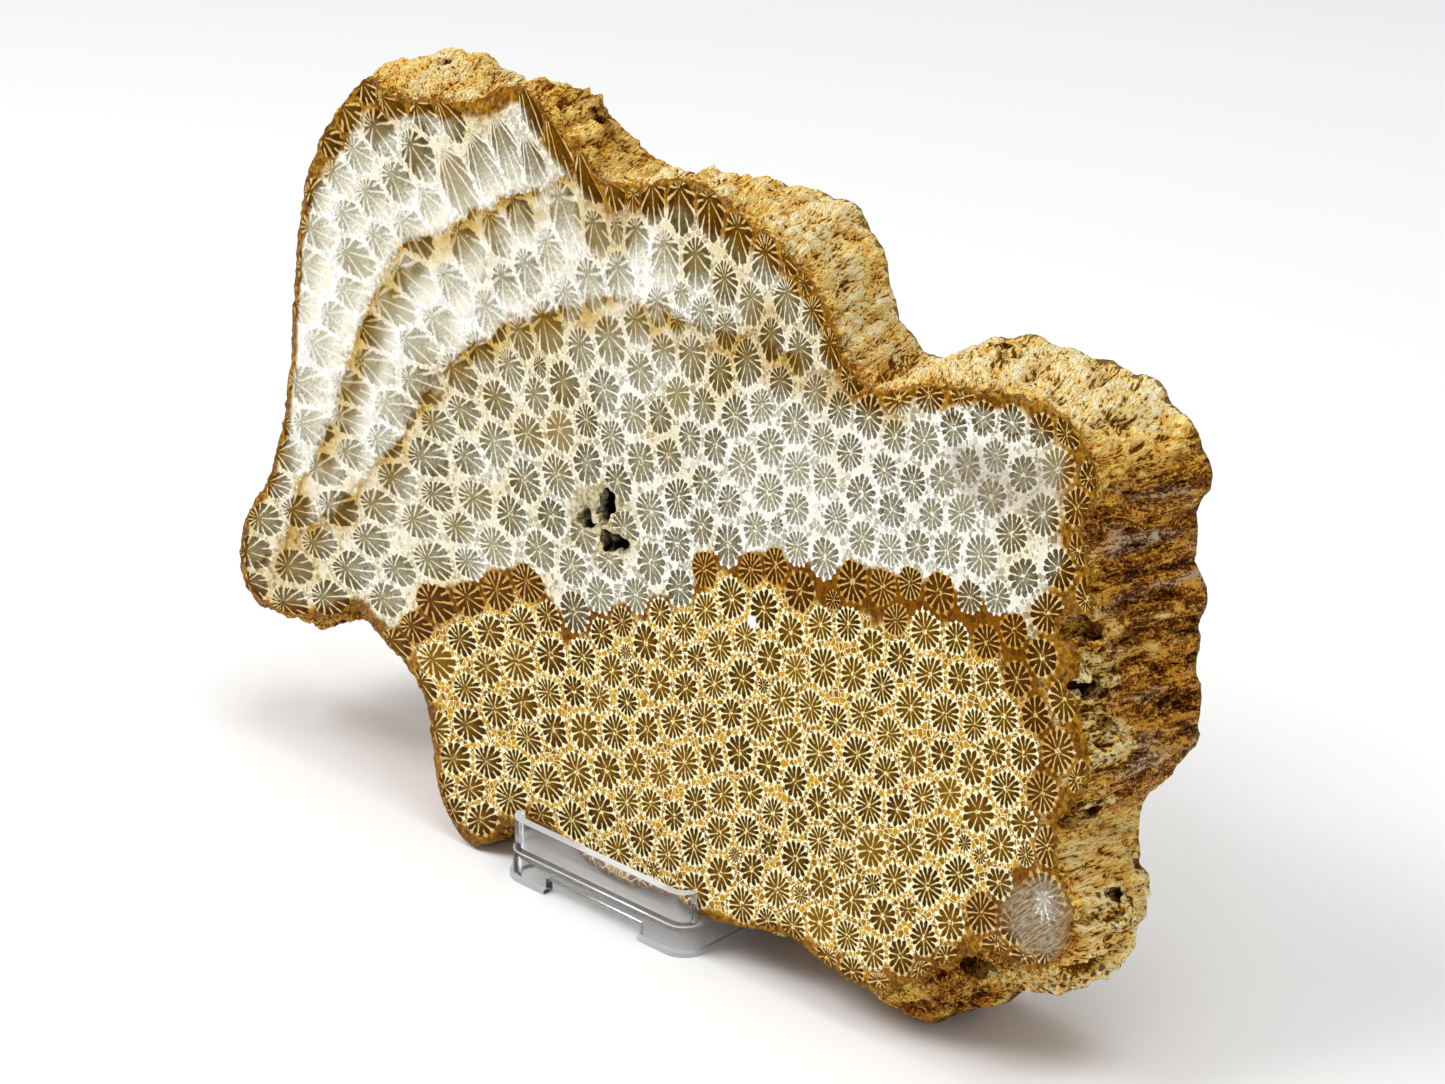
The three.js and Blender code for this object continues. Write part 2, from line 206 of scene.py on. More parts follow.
# How the corallites lie: x, v, direction of their long axis in degrees, long and short pitch, and how
# far their middle is drawn towards the start of the long axis.
LIE = [
    (55, 60, -70, 5.4, 5.2, 0.0), (55, 30, -60, 5.3, 5.1, 0.0), (20, 22, -60, 5.2, 4.9, 0.0),
    (0, 30, -45, 5.2, 4.8, 0.0), (40, 48, -70, 5.3, 5.0, 0.0), (10, 60, -72, 5.7, 5.0, 0.05),
    (30, 66, -70, 5.6, 5.0, 0.0), (0, 78, -66, 6.8, 5.0, 0.18), (-15, 62, -50, 6.5, 5.3, 0.1),
    (-26, 50, -28, 7.2, 5.6, 0.1), (-30, 74, -48, 8.6, 5.3, 0.25), (-36, 95, -56, 13.0, 4.8, 0.45),
    (-46, 88, -42, 12.5, 5.2, 0.42), (-60, 86, -28, 8.4, 5.6, 0.25), (-72, 70, -8, 8.8, 5.4, 0.25),
    (-55, 62, -6, 10.5, 5.3, 0.35), (-46, 45, 2, 9.6, 5.6, 0.2), (-70, 42, 4, 9.6, 5.4, 0.3),
    (-70, 28, 10, 9.4, 5.6, 0.2), (-40, 16, 4, 8.6, 5.4, 0.2), (-24, 24, -10, 6.6, 5.4, 0.1),
    (-34, 4, 30, 6.0, 4.4, 0.1), (15, 84, -70, 6.6, 4.8, 0.2), (-10, 90, -70, 8.0, 5.0, 0.3),
]
FIELD = ((-92, -8), (95, 112))
# Two rounds of growth: how many spots are tried, the smallest and the largest size in pitches, and how
# near two may stand. The small corallites fill what the large ones leave.
LARGE_ONES = {"tries": 9000, "low": 0.8, "high": 1.08, "closeness": 0.72}
SMALL_ONES = {"tries": 9000, "low": 0.42, "high": 0.7, "closeness": 0.86}
STAR_SIZE = 1.3
SETTLE_SHARE = 0.22
FEWEST_SEPTA, MOST_SEPTA = 6, 8
ONE_SEPTUM_LESS_BELOW = 0.75
RING_POINTS = 20
RING_REACH = 1.08
CELL_GAP = 0.04
EDGE_MARGIN = 0.2
RIM_ROOM = 1.2
RESCUE_REACH = 1.2
NEIGHBOUR_REACH = 2.4
SHORTEST_RAY = 0.25
# More pitches, or lengths of a ray, than can matter.
FAR = 9.0


def lie_of(points):
    angle, long, short, lead = blended(points, LIE).T
    angle = np.radians(angle)
    along = np.stack([np.cos(angle), np.sin(angle)], 1)
    across = np.stack([-along[:, 1], along[:, 0]], 1)
    pull = (along[:, :, None] * along[:, None, :] / long[:, None, None] ** 2
            + across[:, :, None] * across[:, None, :] / short[:, None, None] ** 2)
    return along, across, long, short, lead, pull


def pitch_gaps(point, pull, others, pulls):
    """Distances from one corallite to others, counted in pitches."""
    off = others - point
    return np.sqrt(np.einsum("ni,nij,nj->n", off, (pulls + pull) / 2, off))


def scatter(draw, kept, tries, low, high, closeness):
    """Adds as many corallites as fit without crowding the ones that are kept."""
    places, sizes, pulls = kept
    spots = draw.uniform(*FIELD, (tries, 2))
    widths = draw.uniform(low, high, tries)
    tensors = lie_of(spots)[-1]
    for spot, width, tensor in zip(spots, widths, tensors):
        if len(places):
            gaps = pitch_gaps(spot, tensor, np.array(places), np.array(pulls))
            if (gaps < closeness * (np.array(sizes) + width) / 2).any():
                continue
        places.append(spot)
        sizes.append(width)
        pulls.append(tensor)


def settle(places, sizes, rounds):
    """Pushes crowded corallites apart until they pack closely, as they grew."""
    for _ in range(rounds):
        pulls = lie_of(places)[-1]
        off = places[None] - places[:, None]
        pull = (pulls[None] + pulls[:, None]) / 2
        gaps = np.sqrt(np.einsum("abi,abij,abj->ab", off, pull, off)) + np.eye(len(places)) * FAR
        wanted = (sizes[None] + sizes[:, None]) / 2
        push = np.clip(wanted - gaps, 0, 0.5) / np.maximum(gaps, 0.2)
        places = places - SETTLE_SHARE * (push[:, :, None] * off).sum(1)
    return places


def grow_corallites():
    """Middles and sizes of all corallites of the coral, where its polished face cuts them."""
    draw = np.random.default_rng(SEED)
    kept = ([np.array(STAR)], [STAR_SIZE], [lie_of(np.array([STAR]))[-1][0]])
    scatter(draw, kept, **LARGE_ONES)
    places = settle(np.array(kept[0]), np.array(kept[1]), rounds=40)
    kept = (list(places), kept[1], list(lie_of(places)[-1]))
    scatter(draw, kept, **SMALL_ONES)
    sizes = np.array(kept[1])
    places = settle(np.array(kept[0]), sizes, rounds=12)
    draw = np.random.default_rng(SEED + 1)
    count = len(places)
    return {
        "place": places,
        "size": sizes,
        "septa": draw.integers(FEWEST_SEPTA, MOST_SEPTA + 1, count) - (sizes < ONE_SEPTUM_LESS_BELOW),
        "phase": draw.uniform(0, 2 * math.pi, count),
        "tone": draw.uniform(0, 1, count),
    }


def clear_shares(middle, rays, loops, margin):
    """For each ray of a corallite, the share of its length that keeps clear of the outline and the pits."""
    clear = np.full(len(rays), FAR)
    lengths = np.hypot(*rays.T)
    after = np.roll(rays, -1, axis=0)
    sector = rays[:, 0] * after[:, 1] - rays[:, 1] * after[:, 0]
    for loop in loops:
        off = loop[np.hypot(*(loop - middle).T) < lengths.max() + 2] - middle
        if not len(off):
            continue
        # Outline points in the sector between two rays hold both of them back.
        first = (off[None, :, 0] * after[:, None, 1] - off[None, :, 1] * after[:, None, 0]) / sector[:, None]
        second = (rays[:, None, 0] * off[None, :, 1] - rays[:, None, 1] * off[None, :, 0]) / sector[:, None]
        share = np.where((first >= -0.05) & (second >= -0.05), first + second, FAR).min(1)
        clear = np.minimum(clear, np.minimum(share, np.roll(share, 1)))
        # So do outline edges that a ray crosses.
        run = np.roll(loop, -1, axis=0) - loop
        start = loop - middle
        cross = rays[:, None, 0] * run[None, :, 1] - rays[:, None, 1] * run[None, :, 0]
        cross = np.where(np.abs(cross) < 1e-12, 1e-12, cross)
        along_ray = (start[None, :, 0] * run[None, :, 1] - start[None, :, 1] * run[None, :, 0]) / cross
        along_loop = (start[None, :, 0] * rays[:, None, 1] - start[None, :, 1] * rays[:, None, 0]) / cross
        meets = (np.abs(along_loop - 0.5) <= 0.501) & (along_ray > 0)
        clear = np.minimum(clear, np.where(meets, along_ray, FAR).min(1))
    return clear - margin / lengths


def cut_corallites(coral, loops, drift):
    """The corallites that a sawn face shows: number, middle, rim points, cup values, wall shares and lead."""
    places = coral["place"] + drift
    along, across, long, short, lead, pulls = lie_of(coral["place"])
    sizes = coral["size"]
    middles = places - (lead * sizes * long / 2)[:, None] * along
    # A corallite that the rim cuts through keeps its middle just inside the rim.
    outline = loops[0]
    gap = line_gap(middles, outline, closed=True)
    nudge = 0.1
    inwards = np.stack([line_gap(middles + step, outline, closed=True) - gap
                        for step in ((nudge, 0), (0, nudge))], 1)
    pull_in = np.clip(RIM_ROOM - gap, 0, RIM_ROOM + RESCUE_REACH)
    middles = middles + pull_in[:, None] * inwards / nudge
    inside = line_gap(middles, outline, closed=True) > RIM_ROOM * 0.8
    off = middles - places
    inside &= np.sqrt(np.einsum("ni,nij,nj->n", off, pulls, off)) * 2 / sizes < 0.8
    for pit in loops[1:]:
        inside &= line_gap(middles, pit, closed=True) < -RIM_ROOM / 2
    turns = np.arange(RING_POINTS) * 2 * math.pi / RING_POINTS
    cups = []
    for i in np.flatnonzero(inside):
        half_long, half_short = sizes[i] * long[i] / 2, sizes[i] * short[i] / 2
        rim = RING_REACH * (np.cos(turns)[:, None] * half_long * along[i]
                            + np.sin(turns)[:, None] * half_short * across[i])
        middle = middles[i]
        rays = places[i] + rim - middle
        near = np.flatnonzero(pitch_gaps(places[i], pulls[i], places, pulls) < NEIGHBOUR_REACH)
        near = near[near != i]
        off = places[near] - places[i]
        walls = np.einsum("nij,nj->ni", (pulls[near] + pulls[i]) / 2, off)
        walls /= np.hypot(*walls.T)[:, None]
        meet = places[i] + off * (sizes[i] / (sizes[i] + sizes[near]))[:, None]
        room = ((meet - middle) * walls).sum(1) - CELL_GAP
        towards = rays @ walls.T
        reach = np.where(towards > 1e-9, np.maximum(room, 0.1)[None] / np.maximum(towards, 1e-9), FAR).min(1)
        reach = np.minimum(reach, 1)
        lengths = np.hypot(*rays.T)
        kept = np.minimum(reach, clear_shares(middle, rays, loops, EDGE_MARGIN))
        if (kept * lengths).min() < SHORTEST_RAY:
            continue
        local = np.stack([rays @ along[i] / half_long, rays @ across[i] / half_short], 1) * kept[:, None]
        cups.append((i, middle, middle + rays * kept[:, None], local, kept / reach, lead[i]))
    return cups


def rim_loops(mesh, depth):
    """The open rims of the rough edge at one cut plane as loops of vertex places, the outline first."""
    shape = bmesh.new()
    shape.from_mesh(mesh)
    spots = to_slice([v.co for v in shape.verts])
    flat = {v for v in shape.verts if abs(spots[v.index][1] - depth) < ON_CUT}
    links = {}
    for edge in shape.edges:
        a, b = edge.verts
        if edge.is_boundary and a in flat and b in flat:
            links.setdefault(a.index, []).append(b.index)
            links.setdefault(b.index, []).append(a.index)
    loops = []
    while links:
        loop = [next(iter(links))]
        while True:
            steps = [n for n in links.get(loop[-1], []) if n not in loop[-2:] and n in links]
            after = next((n for n in steps if n not in loop or (n == loop[0] and len(loop) > 2)), None)
            if after is None or after == loop[0]:
                break
            loop.append(after)
        for n in loop:
            links.pop(n)
        rim = spots[loop]
        x, v = rim[:, 0], rim[:, 2]
        turned_left = (x * np.roll(v, -1) - np.roll(x, -1) * v).sum() > 0
        loops.append(rim if turned_left else rim[::-1])
    shape.free()
    return sorted(loops, key=lambda loop: -np.ptp(loop[:, 0]))


def sawn_face(coral, rims, depth, drift, name):
    """One flat cut face as a mosaic: a fan of facets for each corallite and plain facets between them."""
    loops = [rim[:, [0, 2]] for rim in rims]
    cups = cut_corallites(coral, loops, drift)
    rings = [cup[2] for cup in cups]
    points = np.concatenate(loops + rings)
    polygons, start = [], 0
    for ring in loops + rings:
        polygons.append(list(range(start, start + len(ring))))
        start += len(ring)
    found = geometry.delaunay_2d_cdt([Vector(p) for p in points], [], polygons, 1, 1e-5)
    spots = np.array([tuple(p) for p in found[0]])
    place_of = {old: new for new, olds in enumerate(found[3]) for old in olds}
    if len(spots) != len(points):
        print(name, "mosaic has", len(spots) - len(points), "crossings")
    between = [tuple(face) for face, owners in zip(found[2], found[5]) if set(owners) == {0}]
    facets = list(between)
    corners = [(0, 0, 2)] * (3 * len(between))
    natures = [(0, 0, 0)] * len(between)
    homes = [0] * len(between)
    ring_start = sum(len(loop) for loop in loops)
    for n, (i, _, _, local, share, _) in enumerate(cups):
        centre = len(spots) + n
        for k in range(RING_POINTS):
            after = (k + 1) % RING_POINTS
            a, b = (place_of[ring_start + n * RING_POINTS + s] for s in (k, after))
            facets.append((centre, a, b))
            corners += [(0, 0, 0), (*local[k], share[k]), (*local[after], share[after])]
        natures += [(coral["septa"][i], coral["phase"][i], coral["tone"][i])] * RING_POINTS
        homes += [n] * RING_POINTS
    middles = np.array([cup[1] for cup in cups])
    flat = np.concatenate([spots, middles])
    mesh = bpy.data.meshes.new(name)
    room = to_room(np.stack([flat[:, 0], np.full(len(flat), depth), flat[:, 1]], 1))
    mesh.from_pydata([tuple(p) for p in room], [], facets)
    own = middles - drift
    leads = [cup[5] for cup in cups]
    home = np.stack([line_gap(own, GOLD_LAND, True), line_gap(own, BROWN_LAND, True), leads], 1)
    paint(mesh, "cup", "CORNER", corners)
    paint(mesh, "nature", "FACE", natures)
    paint(mesh, "home", "FACE", home[homes])
    lands = flat - drift
    edge = line_gap(flat, loops[0], closed=True) / blended(lands, AMBER_RIM)[:, 0]
    paint_lands(mesh, facets, lands, edge)
    piece = bpy.data.objects.new(name, mesh)
    bpy.context.scene.collection.objects.link(piece)
    return piece


def paint_lands(mesh, facets, lands, edge):
    """Stores how a cut face's points lie among the colours, with edge as their share of the rim's width."""
    # Stored at the corners, so that the rim keeps them when the face and the rough edge share its points.
    point_of = np.ravel(facets)
    for layer, columns in (
            ("lands", [line_gap(lands, GOLD_LAND, True), line_gap(lands, BROWN_LAND, True), edge]),
            ("bands", [line_gap(lands, OUTER_GROWTH_LINE), line_gap(lands, INNER_GROWTH_LINE),
                       spots_gap(lands, STAINS)]),
            ("marks", [spots_gap(lands, [PITTED_SPOT]), spots_gap(lands, WHITE_SPECKS),
                       spots_gap(lands, [(*STAR, 3, 3)])]),
            ("look", [*blended(lands, WHITE_LIE).T, spots_gap(lands, GREY_SPOTS)])):
        paint(mesh, layer, "CORNER", np.stack(columns, 1)[point_of])


def paint(mesh, name, domain, values):
    """Stores three numbers for each corner, face or point of a mesh, for its material to read."""
    layer = mesh.attributes.new(name, "FLOAT_VECTOR", domain)
    layer.data.foreach_set("vector", np.asarray(values, np.float32).ravel())


# ---------------------------------------------------------------- rough edge

# The rough edge: x, v, share of amber, of pale crumbly stone and of grey, and how far its fibres run
# sideways for each millimetre of depth.
RIND_LIE = [
    (-62, 98, 0.3, 0.4, 0, 0.5), (-50, 98, 0.3, 0.5, 0, 0.5), (-38, 100, 0.65, 0.25, 0, 0.4),
    (-28, 96, 0.5, 0.35, 0, 0.4), (-16, 93, 0.4, 0.45, 0, 0.5), (0, 93, 0.25, 0.55, 0, 0.5),
    (12, 88, 0.2, 0.55, 0, 0.5), (22, 80, 0.1, 0.65, 0, 0.5), (30, 78, 0.35, 0.5, 0, 0.5),
    (42, 82, 0.05, 0.8, 0, 0.5), (54, 84, 0.05, 0.85, 0, 0.45), (60, 81, 0.35, 0.5, 0.1, 0.3),
    (64, 76, 0.8, 0.15, 0.25, 0.1), (65, 68, 0.95, 0, 0.4, 0.05), (66, 60, 0.9, 0.05, 0.35, 0),
    (67, 50, 0.8, 0.2, 0.3, 0), (69, 42, 0.9, 0.1, 0.4, 0), (69, 35, 0.85, 0.15, 0.3, 0),
    (67, 29, 0.35, 0.65, 0, 0), (70, 22, 0.4, 0.6, 0.2, 0), (64, 16, 0.6, 0.5, 0.15, 0.1),
    (52, 11, 0.75, 0.35, 0, 0.3), (42, 5, 0.85, 0.2, 0, 0.3), (25, 6, 0.8, 0.2, 0, 0.3),
    (0, 4, 0.7, 0.3, 0, 0.4), (-24, 0, 0.7, 0.2, 0, 0.3), (-40, 17, 0.6, 0.3, 0, 0.2),
    (-60, 20, 0.65, 0.3, 0, 0.4), (-80, 26, 0.55, 0.3, 0, 0.1), (-77, 50, 0.6, 0.25, 0, 0),
    (-77, 75, 0.5, 0.35, 0, 0), (-73, 90, 0.5, 0.4, 0, 0.2)]
FIBRE_RISE = 0.1
# Crumbly hollows in the right side, past this x: depth, height and their two radii.
RIGHT_SIDE = 52
CRUMBLY_SPOTS = [(2.5, 50, 4.5, 6), (4, 44.5, 5, 4), (5, 36, 3.5, 3), (8, 25, 6, 4), (10, 16, 9, 6)]
# Width and run of the ribs and of the fine fibres between them.
RIB_WIDTH, RIB_RUN = 3.0, 18
FIBRE_WIDTH, FIBRE_RUN = 1.3, 12
RIND_CUTS = 3
EDGE_FRAY = 0.35
FULL_RELIEF_DEPTH = 1.2
RELIEF_SINK = 0.2
PIT_FRAY = 0.7
RIM_MERGE = 0.25
# A point this near to a cut plane lies on it; the others keep the second distance from it.
ON_CUT = 2e-3
OFF_CUT = 0.04
# Metres above the table: where the relief only sinks in, as the stand and the table wear it, and the
# lowest that any point lies.
WORN_BELOW = 0.0095
TABLE_GAP = 3e-5


def hollow(x, w, v, size, share, seed):
    """Depth, 0 to 1, of scattered round pores of about this size."""
    gaps, centres = noise.voronoi(Vector((x, w, v)) / (size * 2.2) + Vector((seed, 0, 0)))
    lucky = noise.cell(centres[0] * 3.7 + Vector((seed, 5.5, 1.5)))
    if lucky > share:
        return 0.0
    return max(0.0, 1 - gaps[0] * 2.2 * 1.6) ** 0.7


def relief_at(spot, grain, pale, crumbly):
    """Height of the rough edge's fine relief, in millimetres: fibres along the grain, crumbs and pores."""
    x, w, v = spot
    a, b, c = grain
    ribs = 0.26 - abs(noise.noise(Vector((a / RIB_WIDTH, b / RIB_WIDTH, c / RIB_RUN)))) * 1.5
    fine = 0.2 - abs(noise.noise(Vector((a / FIBRE_WIDTH, b / FIBRE_WIDTH, c / FIBRE_RUN + 9)))) * 1.1
    crumbs = noise.noise(Vector((x / 1.4, w / 1.8, v / 1.4 + 30)))
    ledges = noise.noise(Vector((x / 5, w / 4, v / 5 + 60)))
    pores = (0.8 + 0.3 * pale) * hollow(x, w, v, 1.3, 0.1 + 0.12 * pale, 11)
    pores += 2.0 * crumbly * hollow(x, w, v, 2.2, 0.75, 23)
    return ribs + 1.7 * fine + (0.25 + 0.7 * crumbly) * crumbs + 0.4 * ledges - pores


def open_rind():
    """The slice without its two cut faces, its rough edge finely divided."""
    rock = copy_of_node("coral_slice", "fossil_coral_slice")
    shape = bmesh.new()
    shape.from_mesh(rock.data)
    depth = dict(zip(shape.verts, to_slice([v.co for v in shape.verts])[:, 1]))
    flat = [f for f in shape.faces
            if any(max(abs(depth[v] - plane) for v in f.verts) < ON_CUT for plane in (0, THICKNESS))]
    bmesh.ops.delete(shape, geom=flat, context="FACES_ONLY")
    loose = [e for e in shape.edges if not e.link_faces]
    bmesh.ops.delete(shape, geom=loose, context="EDGES")
    # The back rim's closest points, which fold back on each other, become one.
    back_rim = [v for v in shape.verts if abs(depth[v] - THICKNESS) < ON_CUT]
    bmesh.ops.remove_doubles(shape, verts=back_rim, dist=RIM_MERGE * MM)
    shape.to_mesh(rock.data)
    shape.free()
    only(rock)
    bpy.ops.object.mode_set(mode="EDIT")
    bpy.ops.mesh.select_all(action="SELECT")
    bpy.ops.mesh.subdivide(number_cuts=RIND_CUTS)
    bpy.ops.object.mode_set(mode="OBJECT")
    return rock


def without_folds(mesh, spots, out, move):
    """The moves, shortened where two neighbours would otherwise pass each other."""
    ends = np.array([tuple(edge.vertices) for edge in mesh.edges])
    before = spots[ends[:, 1]] - spots[ends[:, 0]]
    for _ in range(12):
        moved = spots + out * move[:, None]
        after = moved[ends[:, 1]] - moved[ends[:, 0]]
        folded = ends[(before * after).sum(1) < 0.3 * (before ** 2).sum(1)]
        move[np.unique(folded)] *= 0.6
    return move


def rough_edge():
    """The slice's open rind, carved into ribs, crumbs and pores."""
    rock = open_rind()
    mesh = rock.data
    spots = to_slice(points_of(mesh))
    depth = spots[:, 1]
    rim = (np.abs(depth) < ON_CUT) | (np.abs(depth - THICKNESS) < ON_CUT)
    out = np.array([tuple(v.normal) for v in mesh.vertices])
    out = to_slice(out * MM + np.array(FOOT))
    out[rim, 1] = 0
    out[rim] /= np.maximum(np.linalg.norm(out[rim], axis=1), 1e-6)[:, None]
    amber, pale, grey, run = blended(spots[:, [0, 2]], RIND_LIE).T
    grain = np.stack([spots[:, 0] + run * depth, spots[:, 2] - FIBRE_RISE * depth, depth], 1)
    crumbly = np.clip(spots_gap(spots[:, [1, 2]], CRUMBLY_SPOTS) / 2, 0, 1) * (spots[:, 0] > RIGHT_SIDE)
    height = np.array([relief_at(*values) for values in zip(spots, grain, pale, crumbly)])
    strength = EDGE_FRAY * (1 - 0.5 * depth / THICKNESS)
    strength += (1 - strength) * np.clip(np.minimum(depth, THICKNESS - depth) / FULL_RELIEF_DEPTH, 0, 1)
    worn = points_of(mesh)[:, 2] < WORN_BELOW
    move = np.where(worn, np.minimum(height, 0) * 0.6, height - RELIEF_SINK) * strength
    pitted = spots_gap(spots[:, [0, 2]], [PITTED_SPOT])
    ragged = np.array([noise.noise(Vector(p) / 1.1) for p in spots])
    move += np.where(pitted > 0, PIT_FRAY * np.maximum(ragged, 0), 0)
    spots = spots + out * without_folds(mesh, spots, out, move)[:, None]
    spots[:, 1] = np.where(rim, depth, np.clip(spots[:, 1], OFF_CUT, THICKNESS - OFF_CUT))
    room = to_room(spots)
    room[:, 2] = np.maximum(room[:, 2], TABLE_GAP)
    mesh.vertices.foreach_set("co", room.ravel())
    mesh.update()
    # The relief height also goes to the rind's colour, where it paints shade in the hollows and highlight on
    # the ridges.
    paint(mesh, "relief_shade_and_stone", "POINT", np.stack([height, amber, pale], 1))
    paint(mesh, "wear", "POINT", np.stack([pitted, grey, crumbly], 1))
    paint(mesh, "grain", "POINT", grain)
    return rock


def fossil_slice():
    rock = rough_edge()
    coral = grow_corallites()
    column = np.array([COLUMN_X, COLUMN_V])
    front = sawn_face(coral, rim_loops(rock.data, 0.0), 0.0, column * 0, "front_face")
    back = sawn_face(coral, rim_loops(rock.data, THICKNESS), THICKNESS, column * THICKNESS, "back_face")
    rock.data.materials.append(rind_material())
    front.data.materials.append(polished_material())
    back.data.materials.append(sawn_material())
    bpy.ops.object.select_all(action="DESELECT")
    for piece in (front, back, rock):
        piece.select_set(True)
    bpy.context.view_layer.objects.active = rock
    bpy.ops.object.join()
    bpy.ops.object.mode_set(mode="EDIT")
    bpy.ops.mesh.select_all(action="SELECT")
    bpy.ops.mesh.remove_doubles(threshold=1e-6)
    bpy.ops.mesh.normals_make_consistent(inside=False)
    bpy.ops.object.mode_set(mode="OBJECT")
    bpy.ops.object.shade_smooth_by_angle(angle=math.radians(48))
    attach(rock, "root")
    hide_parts("coral_slice")


# ---------------------------------------------------------------- materials

class Recipe:
    """A material's nodes, written as sums."""

    def __init__(self, name):
        self.material = bpy.data.materials.new(name)
        self.material.use_nodes = True
        self.tree = self.material.node_tree
        self.shader = self.tree.nodes["Principled BSDF"]

    def node(self, kind, **settings):
        made = self.tree.nodes.new(kind)
        for name, value in settings.items():
            setattr(made, name, value)
        return made

    def feed(self, socket, value):
        if isinstance(value, bpy.types.NodeSocket):
            self.tree.links.new(value, socket)
        else:
            socket.default_value = value

    def sum(self, operation, *values, clamp=False):
        made = self.node("ShaderNodeMath", operation=operation, use_clamp=clamp)
        for socket, value in zip(made.inputs, values):
            self.feed(socket, value)
        return made.outputs[0]

    def most(self, *values):
        result = values[0]
        for value in values[1:]:
            result = self.sum("MAXIMUM", result, value)
        return result

    def times(self, *values):
        result = values[0]
        for value in values[1:]:
            result = self.sum("MULTIPLY", result, value)
        return result

    def plus(self, *values):
        result = values[0]
        for value in values[1:]:
            result = self.sum("ADD", result, value)
        return result

    def less(self, a, b):
        return self.sum("SUBTRACT", a, b)

    def step(self, value, low, high):
        """0 below low and 1 above high, smooth between; the other way round where high is the lower."""
        made = self.node("ShaderNodeMapRange", interpolation_type="SMOOTHSTEP")
        for socket, number in zip(made.inputs, (value, low, high, 0.0, 1.0)):
            self.feed(socket, number)
        return made.outputs[0]

    def sway(self, value, reach):
        """A noise, 0 to 1, as a value that swings about zero."""
        return self.times(self.less(value, 0.5), reach)

    def mix(self, share, a, b):
        made = self.node("ShaderNodeMix", data_type="RGBA")
        for index, value in ((0, share), (6, a), (7, b)):
            self.feed(made.inputs[index], value)
        return made.outputs[2]

    def mix_value(self, share, a, b):
        made = self.node("ShaderNodeMix", data_type="FLOAT")
        for index, value in ((0, share), (2, a), (3, b)):
            self.feed(made.inputs[index], value)
        return made.outputs[0]

    def attribute(self, name):
        return self.node("ShaderNodeAttribute", attribute_name=name).outputs["Vector"]

    def parts(self, vector):
        made = self.node("ShaderNodeSeparateXYZ")
        self.feed(made.inputs[0], vector)
        return tuple(made.outputs)

    def vector(self, x, y, z):
        made = self.node("ShaderNodeCombineXYZ")
        for socket, value in zip(made.inputs, (x, y, z)):
            self.feed(socket, value)
        return made.outputs[0]

    def vector_sum(self, operation, *values):
        made = self.node("ShaderNodeVectorMath", operation=operation)
        for socket, value in zip(made.inputs, values):
            self.feed(socket, value)
        return made.outputs[0]

    def slice_place(self):
        """(x, w, v) in the slice's own frame, in millimetres."""
        place = self.node("ShaderNodeTexCoord")
        turned = self.node("ShaderNodeMapping", vector_type="TEXTURE")
        self.feed(turned.inputs["Vector"], place.outputs["Object"])
        turned.inputs["Location"].default_value = FOOT
        turned.inputs["Rotation"].default_value = (-LEAN, 0, 0)
        turned.inputs["Scale"].default_value = (MM, MM, MM)
        return turned.outputs[0]

    def noise(self, place, scale, detail=2.0, roughness=0.5):
        made = self.node("ShaderNodeTexNoise")
        self.feed(made.inputs["Vector"], place)
        made.inputs["Scale"].default_value = scale
        made.inputs["Detail"].default_value = detail
        made.inputs["Roughness"].default_value = roughness
        return made.outputs

    def cells(self, place, scale, feature="F1"):
        made = self.node("ShaderNodeTexVoronoi", feature=feature)
        self.feed(made.inputs["Vector"], place)
        made.inputs["Scale"].default_value = scale
        return made.outputs

    def bump(self, height, strength, distance):
        made = self.node("ShaderNodeBump")
        made.inputs["Strength"].default_value = strength
        made.inputs["Distance"].default_value = distance
        self.feed(made.inputs["Height"], height)
        self.feed(self.shader.inputs["Normal"], made.outputs[0])


# Colours of each part of the pattern: in white, tan, golden and amber stone.
CHAMBER = (colour(146, 140, 104), colour(136, 116, 64), colour(124, 84, 0), colour(100, 58, 0))
CHAMBER_DARK = (colour(68, 60, 30), colour(84, 66, 24), colour(60, 34, 0), colour(66, 33, 0))
SEPTUM = (colour(253, 252, 242), colour(246, 236, 204), colour(252, 236, 168), colour(228, 190, 110))
WALL = (colour(255, 254, 250), colour(250, 241, 210), colour(255, 248, 204), colour(204, 156, 70))
GROUND = (colour(246, 244, 226), colour(222, 202, 148), colour(204, 154, 26), colour(128, 76, 0))
BLOB = (colour(166, 160, 126), colour(172, 144, 78), colour(156, 108, 0), colour(98, 54, 0))
# Milky white of the stone, at the left part partly painted sheen.
MILKY_AND_SHEEN = colour(246, 241, 220)
GROWTH_STAIN = colour(216, 186, 102)
STAR_WHITE = colour(254, 253, 248)
SPECK_WHITE = colour(255, 255, 250)
GREY_LINES = (colour(112, 88, 58), colour(180, 165, 138))
WORN_SPOT = (colour(140, 122, 70), colour(222, 206, 158))
SAW_DUST = colour(206, 196, 170)

# Dark, middle and light colour of each stone of the rough edge. Besides the stone's own streaks, the dark
# paints shade in the relief's hollows and the light paints highlight on its ridges.
STRAW = (colour(120, 68, 4), colour(248, 190, 84), colour(255, 232, 152))
CREAM = (colour(112, 66, 2), colour(254, 217, 130), colour(255, 245, 204))
RUST = (colour(56, 16, 0), colour(130, 70, 0), colour(222, 154, 44))
HONEY = (colour(98, 42, 0), colour(188, 112, 6), colour(255, 216, 100))
SLATE = (colour(52, 24, 10), colour(118, 84, 56), colour(204, 182, 154))
PIT_WALL = (colour(70, 50, 20), colour(186, 166, 116), colour(236, 226, 190))
# Painted shade deep inside the pits.
PIT_SHADE = colour(20, 12, 3)
# The dark of the crumbly holes is painted shade.
HOLE_SHADE = colour(46, 28, 6)
FLECK = colour(56, 34, 8)
STONE_IOR = 1.54
PLASTIC_IOR = 1.3


